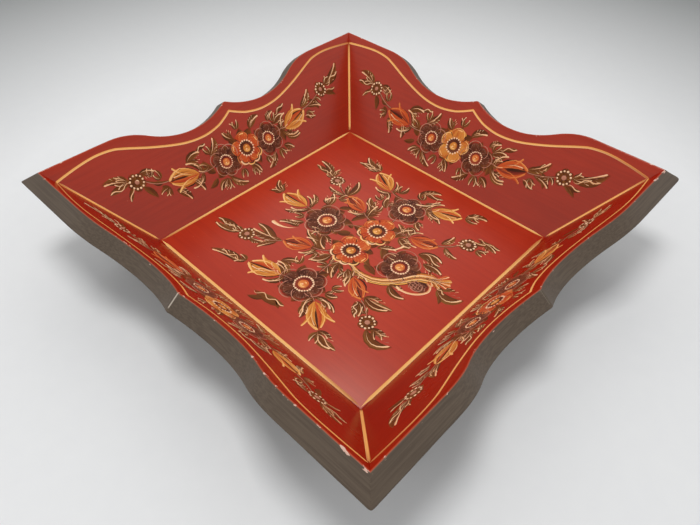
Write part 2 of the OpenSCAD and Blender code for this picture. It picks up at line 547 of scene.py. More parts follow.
    def rose(self, x, y, r, kind, turn, lobes):
        """An open rose of round lobes: the dark kind outlined in pale pink, the bright kinds in gold."""
        hand = self.hand
        petal, edge, fan, ground = {
            "dark": ("plum", "blush", "haze", "wine"),
            "orange": ("coral", "flame", "flame", "plum"),
            "ochre": ("amber", "gold", "flame", "plum"),
        }[kind]
        for k in range(7):
            a = turn + math.tau * (k + 0.4) / 7 + hand.uniform(-0.2, 0.2)
            far = r * hand.uniform(1.08, 1.30)
            root = away(x, y, 0.3 * r, a)
            self.stroke("leaf", root, away(x, y, far, a), 0.62 * r, 0.1, "leaf", 0)
        for k in range(lobes):
            a = turn + math.tau * k / lobes + hand.uniform(-0.15, 0.15)
            reach = r * hand.uniform(0.84, 1.08)
            wide = r * 1.9 * math.sin(math.pi / lobes) * hand.uniform(0.86, 1.10)
            root = away(x, y, 0.12 * r, a)
            self.stroke(petal, root, away(x, y, reach, a), wide, shape="petal", layer=1)
            mid = away(x, y, 0.60 * reach, a)
            span = hand.uniform(1.3, 2.1)
            loop = hand.uniform(0.45, 0.54) if kind == "dark" else 0.41
            last = a + hand.uniform(0.9, 1.9)
            self.arc(edge, *mid, loop * reach, a - span, last, 0.05 * r, "tail" if k % 2 else "line", 3)
            b = a + math.pi / lobes
            self.stroke("dusk", away(x, y, 0.86 * r, b), away(x, y, 0.48 * r, b), 0.07 * r, 0.1, layer=3)
            if kind == "dark":
                self.arc("haze", *mid, 0.29 * reach, a - 0.9, a + 1.0, 0.4, "tail", 3)
            for j in range(-3, 4):
                b = a + 0.14 * j + hand.uniform(-0.03, 0.03)
                far = (0.93 - 0.028 * j * j) * reach
                near = (0.68 - 0.01 * j * j) * reach + hand.uniform(-0.6, 0.6)
                self.stroke(fan, away(x, y, far, b), away(x, y, near, b), 0.62, layer=2)
            if kind != "dark":
                self.arc("gold", x, y, 0.90 * reach, a - 0.22, a + 0.18, 0.09 * r, "tail", 3)
        if kind == "orange":
            for k in range(4):
                a = math.radians(-128 + 30 * k)
                mid = away(x, y, 0.72 * r, a)
                self.arc("dusk", *mid, 0.20 * r, a - 1.2, a + 1.3, 0.05 * r, "line", 4)
                tone = "gold" if k % 2 else "cream"
                self.arc(tone, *mid, 0.27 * r, a - 1.1, a + 1.3, 0.11 * r, "tail", 4)
        self.centre(x, y, r, ground, "flame" if kind == "dark" else "amber")

    def bud(self, base, tip, colour, spread):
        """A rosebud: pale-edged petals that run from a leafy calyx to a point. spread opens it out."""
        run = Vector((tip[0] - base[0], tip[1] - base[1]))
        size = run.length
        way, across = run / size, Vector((-run.y, run.x)) / size

        def at(along, side):
            return tuple(Vector(base) + way * along * size + across * side * size)

        shade, edge = ("coral", "gold") if colour == "amber" else ("wine", "flame")
        bend = self.hand.choice((-1, 1))
        self.stroke("dusk", at(0.0, 0), at(1.0, 0), 0.60 * size, shape="leaf", layer=0)
        for side in (-1, 1):
            wide = 0.24 + 0.16 * spread
            outer, lip = at(0.74, wide * side), at(0.80, (wide + 0.05) * side)
            self.stroke(colour, outer, at(0.0, 0.0), 0.14 * size, 0.10 * side, "leaf", 1)
            self.stroke(edge, lip, at(0.04, 0.06 * side), 0.06 * size, 0.16 * side, layer=3)
        for bulge, tone, wide in (
            (-0.22, colour, 0.15), (0.22, colour, 0.15), (-0.08, shade, 0.13), (0.10, colour, 0.13),
        ):
            crest = at(1.0, 0.02 * bend)
            self.stroke(tone, at(0.0, 0), crest, wide * size, bulge * bend, "leaf", 2)
        for tone, start, end, wide, bulge, layer in (
            ("dusk", (0.94, 0.01), (0.10, 0.0), 0.045, -0.02, 3),
            ("dusk", (0.90, 0.05), (0.14, 0.06), 0.035, -0.14, 3),
            (edge, (1.0, 0.02), (0.10, 0.05), 0.075, -0.30, 4),
            (edge, (0.94, -0.04), (0.16, -0.06), 0.055, 0.22, 4),
            ("cream", (0.84, 0.10), (0.24, 0.10), 0.035, -0.06, 5),
        ):
            start, end = at(start[0], start[1] * bend), at(end[0], end[1] * bend)
            self.stroke(tone, start, end, wide * size, bulge * bend, layer=layer)
        for side in (-1, 1):
            sepal = at(0.30, 0.36 * side)
            self.stroke("leaf", at(-0.14, 0), sepal, 0.19 * size, 0.22 * side, "leaf", 1)
            for start, end, wide, bulge in (
                ((0.34, 0.37), (-0.06, 0.03), 0.055, -0.26), ((0.08, 0.30), (-0.12, 0.06), 0.04, -0.16),
            ):
                start, end = at(start[0], start[1] * side), at(end[0], end[1] * side)
                self.stroke("cream", start, end, wide * size, bulge * side, layer=5)

    def star(self, x, y, r):
        """A small dark flower with a ring of dots for its stamens."""
        for k in range(5):
            a = 0.6 + math.tau * k / 5
            self.stroke("leaf", (x, y), away(x, y, 1.08 * r, a), 0.95 * r, shape="petal", layer=1)
        self.ring("pearl", x, y, 0.76 * r, 12, 0.125 * r, 4)
        self.dot("blush", x, y, 0.30 * r, 4)
        self.dot("pearl", x + 0.03 * r, y + 0.03 * r, 0.21 * r, 6)


def value_of(tree, name):
    """A named value stored on the touches."""
    return fit(tree, "GeometryNodeInputNamedAttribute", {"Name": name}, data_type="FLOAT")[0]


def name_value(tree, shape, name, value):
    """Stores a value on each point of a shape under a name."""
    kept = {"Geometry": shape, "Name": name, "Value": value}
    return fit(tree, "GeometryNodeStoreNamedAttribute", kept, data_type="FLOAT", domain="POINT")[0]


def finish_shape(tree, shape):
    """Ends a tree: welds the poles shut, makes every copy real, and gives the paint."""
    welded = fit(tree, "GeometryNodeMergeByDistance", {"Geometry": shape, "Distance": 0.001 * MM})
    real = fit(tree, "GeometryNodeRealizeInstances", {"Geometry": welded[0]})
    smooth = fit(tree, "GeometryNodeSetShadeSmooth", {"Geometry": real[0]})
    asked = tree.nodes["Group Input"].outputs["Paint"]
    painted = fit(tree, "GeometryNodeSetMaterial", {"Geometry": smooth[0], "Material": asked})
    fit(tree, "NodeGroupOutput", {0: painted[0]})


def new_tree(name, sizes):
    """An empty Geometry Nodes tree with its named inputs, and the identifiers they are set by."""
    tree = bpy.data.node_groups.new(name, "GeometryNodeTree")
    tree.interface.new_socket("Shape", in_out="OUTPUT", socket_type="NodeSocketGeometry")
    kinds = {"Paths": "Geometry", "Paint": "Material", **{size: "Float" for size in sizes}}
    names = {}
    for label, kind in kinds.items():
        socket = tree.interface.new_socket(label, in_out="INPUT", socket_type="NodeSocket" + kind)
        names[label] = socket.identifier
    fit(tree, "NodeGroupInput")
    return tree, names


brush, stroke_inputs = new_tree("brush_strokes", ["Crown", "Sunk"])
asked = brush.nodes["Group Input"].outputs
curves = fit(brush, "GeometryNodeMeshToCurve", {"Mesh": asked["Paths"]})
level = fit(brush, "GeometryNodeSetCurveNormal", {"Curve": curves[0]}, mode="Z_UP")
progress = fit(brush, "GeometryNodeSplineParameter")["Factor"]
marked = name_value(brush, level[0], "along", progress)
bristles = fit(brush, "GeometryNodeCurvePrimitiveCircle", {"Resolution": 6, "Radius": 1.0})
corner = fit(brush, "GeometryNodeInputPosition")[0]
corner = fit(brush, "ShaderNodeSeparateXYZ", {0: corner})
under = reckon(brush, "LESS_THAN", corner["Y"], -0.1)
above = reckon(brush, "GREATER_THAN", corner["Y"], 0.1)
side = reckon(brush, "MULTIPLY", corner["X"], reckon(brush, "ADD", under, 1.0))
profile = name_value(brush, bristles[0], "across", side)
profile = name_value(brush, profile, "above", above)
profile = name_value(brush, profile, "under", under)
flat = fit(brush, "ShaderNodeCombineXYZ", {"X": value_of(brush, "across"), "Y": 0.0, "Z": 0.0})
profile = fit(brush, "GeometryNodeSetPosition", {"Geometry": profile, "Position": flat[0]})
half_width = value_of(brush, "half_width")
swept = {"Curve": marked, "Profile Curve": profile[0], "Scale": half_width, "Fill Caps": True}
swept = fit(brush, "GeometryNodeCurveToMesh", swept)
crown = reckon(brush, "MULTIPLY", half_width, 0.3)
crown = reckon(brush, "MINIMUM", crown, asked["Crown"])
crown = reckon(brush, "MULTIPLY", crown, value_of(brush, "above"))
under = value_of(brush, "under")
raised = reckon(brush, "ADD", value_of(brush, "height"), crown)
raised = reckon(brush, "MULTIPLY", raised, reckon(brush, "SUBTRACT", 1.0, under))
raised = reckon(brush, "SUBTRACT", raised, reckon(brush, "MULTIPLY", under, asked["Sunk"]))
flat = fit(brush, "GeometryNodeInputPosition")[0]
flat = fit(brush, "ShaderNodeSeparateXYZ", {0: flat})
lifted = fit(brush, "ShaderNodeCombineXYZ", {"X": flat["X"], "Y": flat["Y"], "Z": raised})
touch = fit(brush, "GeometryNodeSetPosition", {"Geometry": swept[0], "Position": lifted[0]})
finish_shape(brush, touch[0])

dot_tree, dot_inputs = new_tree("paint_dots", ["Flatness"])
asked = dot_tree.nodes["Group Input"].outputs
bead = fit(dot_tree, "GeometryNodeMeshUVSphere", {"Segments": 8, "Rings": 5, "Radius": 1.0})
radius = value_of(dot_tree, "half_width")
low = reckon(dot_tree, "MULTIPLY", radius, asked["Flatness"])
size = fit(dot_tree, "ShaderNodeCombineXYZ", {"X": radius, "Y": radius, "Z": low})
beads = {"Points": asked["Paths"], "Instance": bead[0], "Scale": size[0]}
beads = fit(dot_tree, "GeometryNodeInstanceOnPoints", beads)
finish_shape(dot_tree, beads[0])


def brush_colour(name, body, light, shade):
    """Oil colour from a double-loaded brush: one side of a touch is lighter, and its tail runs dry."""
    paint, tree, finish = new_finish(name)
    across, along, load = [stored(tree, label) for label in ("across", "along", "load")]
    place = fit(tree, "ShaderNodeTexCoord")["Object"]
    drawn_out = reckon(tree, "MULTIPLY", along, 0.3)
    own = reckon(tree, "MULTIPLY", load, 37.0)
    spread = fit(tree, "ShaderNodeCombineXYZ", {"X": across, "Y": drawn_out, "Z": own})
    hairs = {"Vector": spread[0], "Scale": 3.2, "Detail": 4.0}
    bristle = fit(tree, "ShaderNodeTexNoise", hairs)["Fac"]
    soft = grain(tree, place, (700, 700, 700), 2.0)
    tone = weighed(tree, (across, 0.17), (bristle, 0.75), (reckon(tree, "ADD", load, soft), 0.13))
    colour = blend(tree, step(tree, tone, 0.30, 0.52), shade, body)
    colour = blend(tree, step(tree, tone, 0.54, 0.78), colour, light)
    dry = reckon(tree, "ADD", along, reckon(tree, "MULTIPLY", bristle, 0.7))
    colour = blend(tree, step(tree, dry, 1.12, 1.42, 0.0, 0.7), colour, (0.33, 0.025, 0.008, 1))
    relief = fit(tree, "ShaderNodeBump", {"Height": bristle, "Strength": 0.3, "Distance": 0.1 * MM})
    give(tree, finish, {
        "Base Color": colour, "Roughness": 0.32, "Specular IOR Level": 0.12, "Normal": relief[0]})
    return paint


# Each colour has its body, the light that one side of the brush carries, and the shade of the other.
colours = {}
for key, name, *tones in (
    ("leaf", "leaf_olive", (0.158, 0.043, 0.007), (0.235, 0.085, 0.017), (0.092, 0.022, 0.004)),
    ("plum", "petal_plum", (0.122, 0.028, 0.010), (0.195, 0.062, 0.024), (0.066, 0.013, 0.005)),
    ("haze", "veil_haze", (0.250, 0.100, 0.056), (0.380, 0.195, 0.118), (0.140, 0.044, 0.022)),
    ("dusk", "line_dusk", (0.074, 0.016, 0.005), (0.120, 0.032, 0.010), (0.040, 0.008, 0.003)),
    ("wine", "ground_wine", (0.240, 0.030, 0.012), (0.340, 0.060, 0.022), (0.130, 0.014, 0.008)),
    ("coral", "petal_coral", (0.56, 0.082, 0.016), (0.66, 0.165, 0.040), (0.44, 0.040, 0.010)),
    ("flame", "light_flame", (0.70, 0.200, 0.045), (0.82, 0.350, 0.110), (0.60, 0.105, 0.022)),
    ("amber", "petal_amber", (0.66, 0.24, 0.038), (0.80, 0.38, 0.080), (0.50, 0.120, 0.018)),
    ("blush", "outline_blush", (0.50, 0.205, 0.130), (0.66, 0.35, 0.24), (0.34, 0.115, 0.066)),
    ("cream", "light_cream", (0.930, 0.560, 0.300), (0.980, 0.720, 0.470), (0.740, 0.330, 0.130)),
    ("pearl", "dot_pearl", (0.950, 0.620, 0.380), (0.980, 0.780, 0.560), (0.840, 0.440, 0.230)),
    ("gold", "line_gold", (0.92, 0.50, 0.165), (0.97, 0.65, 0.30), (0.80, 0.34, 0.075)),
):
    colours[key] = brush_colour(name, *[(*tone, 1) for tone in tones])


def lay_paint(board, painting, place, slot):
    """Turns a board's touches and dots into solid paint on its face, one piece to each colour."""
    for marks, tree, inputs, sizes, kind in (
        (painting.touches, brush, stroke_inputs, {"Crown": 0.025 * MM, "Sunk": 0.03 * MM}, "strokes"),
        (painting.dots, dot_tree, dot_inputs, {"Flatness": 0.25}, "dots"),
    ):
        for colour, pot in marks.items():
            if kind == "dots":
                pot = [([(x, y)], [radius], 0.5, height) for x, y, radius, height in pot]
            points, edges, halves, loads, heights = [], [], [], [], []
            for path, widths, load, height in pot:
                first = len(points)
                lift = height * MM if kind == "dots" else 0.0
                points += [(x * MM, y * MM, lift) for x, y in path]
                edges += [(first + i, first + i + 1) for i in range(len(path) - 1)]
                halves += [w * MM for w in widths]
                loads += [load] * len(path)
                heights += [height * MM] * len(path)
            name = board + "_" + colour + "_" + kind
            paths = bpy.data.meshes.new(name)
            paths.from_pydata(points, edges, [])
            for label, values in (("half_width", halves), ("load", loads), ("height", heights)):
                keep_value(paths, label, values)
            holder = bring_in(name, paths)
            modifier = holder.modifiers.new("paint", "NODES")
            modifier.node_group = tree
            modifier[inputs["Paint"]] = colours[colour]
            for label, value in sizes.items():
                modifier[inputs[label]] = value
            ready = holder.evaluated_get(bpy.context.evaluated_depsgraph_get())
            mesh = bpy.data.meshes.new_from_object(ready)
            bpy.data.objects.remove(holder)
            mesh.name = name
            mesh.transform(place)
            face_outwards(mesh)
            mesh.set_sharp_from_angle(angle=math.radians(50))
            put(name, mesh, slot=slot)


def along_points(points):
    """A smooth line through given points, in six steps from each to the next."""
    ends = [points[0]] + list(points) + [points[-1]]
    line = []
    for a, b, c, d in zip(ends, ends[1:], ends[2:], ends[3:]):
        for i in range(6):
            s = i / 6
            line.append(tuple(
                0.5 * (2 * q + (r - p) * s + (2 * p - 5 * q + 4 * r - t) * s ** 2
                       + (3 * q - p - 3 * r + t) * s ** 3)
                for p, q, r, t in zip(a, b, c, d)))
    return line + [points[-1]]


# THE FLOOR PAINTING
# A gold line runs round the floor against the sides. Inside it a loose bouquet spreads from six open
# roses: buds and small dotted flowers between dark leaves, and an ochre scroll to the right.
bouquet = Painting(11)
line_at = 93.9
line_wide = 2.0
corners = [(line_at, line_at), (-line_at, line_at), (-line_at, -line_at), (line_at, -line_at)]
for k, c in enumerate(corners):
    d = corners[(k + 1) % 4]
    points = []
    for i in range(25):
        s = i / 24
        wobble = 0.10 * noise.noise(Vector((6 * s, k * 3.3, 0.7)))
        points.append((c[0] + (d[0] - c[0]) * s + wobble, c[1] + (d[1] - c[1]) * s + wobble))
    bouquet.touch("gold", points, line_wide, "even", 1)

# A leaf has its two ends, its width, its bow and the side that its veins lie on.
for *ends, width, bow, vein in (
    (-38, 70, -58, 79, 6.5, 0.1, 1), (-39, 69, -56, 69, 4.0, -0.12, -1),
    (-19, 55, -11, 48, 4.5, 0.1, 1), (3, 67, 15, 82, 6.5, 0.2, -1), (43, 73, 57, 81, 6.5, 0.18, -1),
    (20, 58, 34, 53, 5.0, 0.1, 1), (12, 64, 20, 74, 4.0, -0.1, 1), (66, 59, 80, 56, 5.0, 0.1, 1),
    (47, 38, 50, 51, 5.5, -0.1, 1), (51, 37, 64, 33, 5.0, -0.15, 1), (42, 19, 60, 23, 6.5, 0.18, 1),
    (19, 20, 25, 36, 5.5, 0.12, 1), (22, 22, 35, 20, 5.0, -0.1, -1), (71, 2, 89, 7, 7.5, -0.28, -1),
    (73, 1, 79, -7, 3.5, 0.1, 0), (46, -16, 62, -18, 6.0, -0.22, -1),
    (42, -35, 61, -32, 6.0, -0.16, -1), (41, -40, 50, -50, 5.0, 0.1, 1),
    (60, -53, 80, -52, 7.0, -0.26, -1), (40, -74, 56, -78, 6.0, -0.18, -1),
    (23, -55, 38, -58, 4.5, 0.14, 1), (18, -64, 25, -75, 4.5, 0.1, -1),
    (-3, -76, -13, -85, 4.5, 0.12, 0), (1, -76, 10, -79, 4.0, 0.1, 0),
    (-38, -69, -64, -75, 6.0, -0.08, 1), (-35, -36, -60, -43, 7.5, 0.1, -1),
    (-36, -40, -43, -53, 5.0, -0.1, 1), (-62, -51, -84, -56, 5.5, 0.1, 1),
    (-37, -18, -52, -24, 5.0, -0.12, 1), (-14, -18, -31, -15, 5.0, 0.12, 1),
    (-74, 1, -87, 9, 5.0, 0.12, 1), (-74, -1, -83, -6, 3.5, -0.1, 0), (-47, 4, -55, 15, 5.0, -0.14, 1),
    (-49, -4, -58, -13, 5.0, 0.14, -1), (-38, 13, -46, 26, 5.5, -0.1, -1),
    (-62, 42, -82, 49, 6.0, -0.1, 1), (-60, 40, -62, 51, 3.6, 0.1, 1),
    (-36, 31, -42, 50, 6.5, -0.12, -1), (-37, 30, -54, 29, 4.5, 0.14, -1),
    (-8, 22, -11, 39, 7.5, 0.05, 1), (-13, 20, -24, 18, 4.5, -0.12, 1), (-8, 7, -15, 12, 4.0, 0.1, 0),
    (-9, -22, -18, -27, 4.0, 0.1, 0), (-8, -58, -22, -54, 5.0, -0.14, -1),
    (17, -24, 26, -37, 5.0, 0.12, 1), (18, 4, 30, 12, 4.5, 0.12, -1), (18, -8, 27, -12, 4.0, -0.1, 0),
    (-50, -38, -44, -46, 3.5, 0.1, 0), (-12, 34, -22, 42, 6.0, 0.12, 1),
    (-14, 12, -4, 30, 5.0, 0.1, 0), (-18, -12, -6, -22, 6.5, -0.12, -1),
    (0, -22, -8, -36, 6.0, 0.14, 1), (9, -24, 16, -38, 6.0, -0.12, -1),
    (22, -14, 34, -16, 5.5, 0.1, 0), (22, 26, 12, 34, 5.0, -0.1, 1), (-6, 40, -12, 52, 5.5, 0.12, 1),
    (20, 44, 28, 38, 5.0, -0.1, -1), (-38, -12, -46, -18, 5.0, 0.1, -1),
    (-20, -50, -10, -42, 5.5, 0.1, 1), (22, -50, 30, -46, 5.0, -0.12, -1),
    (-6, 3, -14, -4, 6.0, 0.1, 0), (20, 8, 27, -2, 6.0, 0.1, 0), (-30, 16, -22, 22, 4.5, 0.1, 0),
    (50, 14, 66, 14, 6.5, 0.1, 1), (-58, 39, -46, 34, 4.0, 0.1, -1),
    (-53, -50, -42, -46, 4.5, -0.1, 1),
):
    bouquet.leaf(ends[:2], ends[2:], width, bow, vein)

for *ends, bow in (
    (0, 58, -17, 59, 0.1), (14, 58, 21, 62, 0.1), (0, 22, -15, 26, 0.1), (16, 24, 28, 28, 0.1),
    (-38, 1, -50, 1, 0.0), (-2, -18, -15, -26, 0.1), (14, -20, 25, -27, 0.1), (-2, -56, -11, -58, 0.0),
    (14, -56, 22, -59, 0.0), (-34, 30, -50, 38, 0.08), (46, 35, 57, 48, -0.1),
    (-34, -36, -53, -46, 0.06), (42, -38, 54, -46, 0.08), (-14, 6, -2, 12, 0.1), (8, 32, 7, 38, 0.0),
    (5, -24, 6, -40, 0.0),
):
    bouquet.stem(ends[:2], ends[2:], bow)

for *ends, waves, swing in (
    (-37, 71, -58, 68, 3, 0.09), (4, 73, 19, 77, 2, 0.16), (42, 76, 53, 75, 3, 0.12),
    (62, 60, 80, 61, 4, 0.08), (44, 22, 60, 20, 2, 0.14), (70, 4, 77, 2, 3, 0.16),
    (-62, 40, -80, 42, 4, 0.1), (-62, -50, -85, -52, 4, 0.08), (-39, -67, -57, -71, 4, 0.12),
    (-13, -79, 11, -75, 5, 0.09), (41, -76, 58, -77, 2, 0.12), (-37, -38, -60, -36, 2, 0.08),
    (40, -41, 49, -51, 4, 0.14), (58, 53, 70, 59, 2, 0.12), (-16, -58, -26, -66, 2, 0.1),
    (44, -34, 62, -31, 1, 0.1),
):
    bouquet.tendril(ends[2:], ends[:2], waves, swing)

for x, y, angle, size, count in (
    (-10, 60, 1.7, 10, 2), (18, 57, 1.3, 11, 2), (5, -29, 1.57, 7, 3), (5, -31, -2.5, 8, 2),
    (6, -31, -0.6, 8, 2), (-9, -27, -1.7, 9, 2), (18, -27, -1.3, 9, 2), (20, -65, -1.0, 8, 2),
    (8, 66, 2.2, 8, 2), (-37, 23, 1.2, 9, 2), (28, 17, 0.8, 8, 2), (-16, -57, 2.6, 7, 2),
    (-60, 39, 2.9, 7, 2), (59, 49, -2.6, 6, 2), (51, -45, 2.2, 6, 2), (-39, 69, 2.7, 9, 3),
    (43, 72, 0.6, 9, 3), (-74, 0, 3.1, 9, 3), (-37, -66, -2.8, 9, 3), (41, -75, -1.0, 9, 3),
    (-14, 45, 2.7, 8, 2), (20, 36, -0.6, 8, 2), (-22, -10, -2.4, 8, 3), (22, -20, -0.8, 8, 3),
    (-8, 32, 2.2, 8, 3), (26, 4, 0.2, 8, 2), (-42, -8, -2.6, 8, 2), (-40, 14, 2.3, 8, 2),
    (-10, -44, 2.2, 8, 2), (22, -44, 0.8, 8, 2), (68, 50, 0.1, 8, 3), (64, -50, -0.3, 8, 3),
    (-62, -50, -2.9, 8, 3), (-60, 40, 2.5, 8, 3),
):
    bouquet.spray(x, y, angle, size, count)

bouquet.stroke("cream", (-55, -27), (-36, -19), 3.0, -0.16, layer=4)
bouquet.stroke("cream", (-44, 15), (-36, 25), 1.8, 0.2, layer=4)
bouquet.stroke("cream", (7, 59), (14, 78), 1.4, -0.3, layer=4)
bouquet.stroke("cream", (30, 19), (17, 6), 1.6, 0.2, layer=4)

scroll = [(15, -19), (21, -21.5), (28, -22), (35, -20.5), (41, -17), (46, -12),
          (50, -6.5), (53, -1), (57, 3.5), (63, 7), (70, 9)]
last = len(scroll) - 1
for colour, low, high, off, layer in (
    ("dusk", 3.4, 10.6, 0.0, 0), ("amber", 2.8, 9.2, 0.0, 1), ("gold", 1.4, 3.0, 1.2, 2),
    ("flame", 0.7, 1.5, -0.3, 2), ("gold", 0.9, 1.6, -1.7, 3), ("cream", 0.5, 1.1, 2.4, 3),
    ("dusk", 0.3, 0.6, -0.9, 3), ("dusk", 0.3, 0.6, 0.5, 3), ("dusk", 0.3, 0.5, -3.0, 3),
):
    shifted, halves = [], []
    for i, (x, y) in enumerate(scroll):
        opened = 0.35 + 0.65 * i / last
        shifted.append((x - 0.64 * off * opened, y + 0.77 * off * opened))
        halves.append((low + (high - low) * (i / last) ** 0.8) / 2 * (1 if 0 < i < last else 0.35))
    bouquet.band(colour, shifted, halves, layer)
for k, (x, y) in enumerate(((70, 17), (74, 14.5), (75.5, 11), (75, 7), (71.5, 4), (67, 2))):
    tone = ("coral", "amber", "flame")[k % 3]
    bouquet.stroke(tone, (x, y), (56, 4 + 0.5 * k % 2), 4.4, 0.06 * (2.5 - k), layer=2)
    bouquet.stroke("cream", (x, y), (60, 6), 0.8, 0.05 * (2.5 - k), layer=4)
    bouquet.stroke("dusk", (x - 1, y - 1.6), (60, 5), 0.5, 0.05 * (2.5 - k), layer=4)
bouquet.stroke("plum", (55, -5), (67, -2), 10.0, shape="petal", layer=1)
for k in range(6):
    bouquet.stroke("blush", (56.5 + 1.9 * k, -9 + 0.9 * k), (57 + 1.6 * k, 0.5), 0.7, 0.15, layer=3)
for k in range(4):
    bouquet.stroke("blush", (56, -7 + 2.1 * k), (66, -6.5 + 2.2 * k), 0.6, -0.08, layer=3)
lip = [(50, -13.5), (55, -14), (60, -12.6), (65, -9), (68, -3.5), (66.5, 1), (63, 2)]
curl = [(57, -8), (61, -8.6), (64, -5.5), (62.5, -2), (59.5, -2.6), (60, -5)]
bouquet.touch("cream", along_points(lip), 1.5, "line", 4)
bouquet.touch("blush", along_points(curl), 0.7, "tail", 4)

for x, y, r, kind, turn, lobes in (
    (6.5, 49.5, 14, "dark", 0.5, 6), (-27, 0.5, 15, "dark", 0.2, 6), (41, 1.3, 14, "dark", 0.9, 6),
    (6, -53.5, 15, "dark", 0.1, 6), (6.6, -10, 14, "orange", 0.0, 5), (6.6, 17, 14, "orange", 0.3, 5),
):
    bouquet.rose(x, y, r, kind, turn, lobes)

for *ends, colour, spread in (
    (-17, 58, -38, 68, "amber", 0.7), (20, 62, 41, 71, "amber", 0.6), (-15, 26, -35, 30, "coral", 0.0),
    (28, 28, 47, 35, "coral", 0.0), (-49, 1, -72, 0, "amber", 0.9), (-15, -26, -34, -35, "coral", 0.0),
    (25, -27, 42, -37, "coral", 0.0), (-11, -58, -35, -65, "amber", 0.6),
    (22, -59, 40, -73, "amber", 1.1),
):
    bouquet.bud(ends[:2], ends[2:], colour, spread)
for x, y, r in ((-54, 38.5, 6), (61, 50.5, 6.3), (-57, -48.7, 6.3), (57, -48.5, 6)):
    bouquet.star(x, y, r)
lay_paint("floor", bouquet, Matrix.Translation((0, 0, floor_top)), "floor_paint")

# THE SIDE GARLANDS
# Each side has a gold line that follows its scalloped edge, half of the line down each mitre, and a
# garland that spreads from three roses through a bud and a dotted flower to a leaf at each end.
def mitre_at(y):
    """How far from the middle of a side its mitre lies, at a height up the slope."""
    return floor_edge / MM + y * math.sin(lean)


